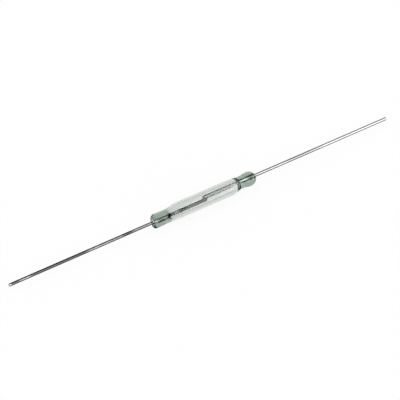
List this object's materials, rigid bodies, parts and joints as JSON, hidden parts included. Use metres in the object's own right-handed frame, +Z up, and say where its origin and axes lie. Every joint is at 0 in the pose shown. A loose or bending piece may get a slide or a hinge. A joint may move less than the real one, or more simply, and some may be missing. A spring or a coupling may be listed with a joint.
{
  "type": "glass reed switch",
  "caption": "Slim glass tube sealed at both ends onto straight axial wire leads, with overlapping flat reed blades inside that bend together to close a contact in a magnetic field.",
  "frame": {"origin": "on the tube's axis, half way between the two lead tips, which is within 0.1 mm of the middle of the glass", "axes": "+X along the switch towards the right lead, Y the way the contact closes, +Z up across the blades' width"},
  "size_m": [0.0764, 0.0028, 0.0028],
  "materials": {
    "green_glass": "clear pale green glass",
    "tinned_wire": "bright drawn wire",
    "reed_metal": "satin pressed strip"
  },
  "bodies": {
    "envelope": {"glass_tube": "green_glass", "left_lead": "tinned_wire", "right_lead": "tinned_wire"},
    "left_reed": {"left_blade": "reed_metal"},
    "right_reed": {"right_blade": "reed_metal"}
  },
  "joints": [
    {"name": "left_blade_flex", "type": "hinge", "parent": "envelope", "child": "left_reed", "pos_m": [-0.00587, -0.00024, 0], "axis": [0, 0, 1], "range_deg": [0, 1.17], "stiffness_Nm_per_rad": 0.002},
    {"name": "right_blade_flex", "type": "hinge", "parent": "envelope", "child": "right_reed", "pos_m": [0.00628, 0.00024, 0], "axis": [0, 0, 1], "range_deg": [0, 1.17], "stiffness_Nm_per_rad": 0.002}
  ],
  "couplings": [
    {"joint": "right_blade_flex", "follows": "left_blade_flex", "ratio": 1}
  ]
}
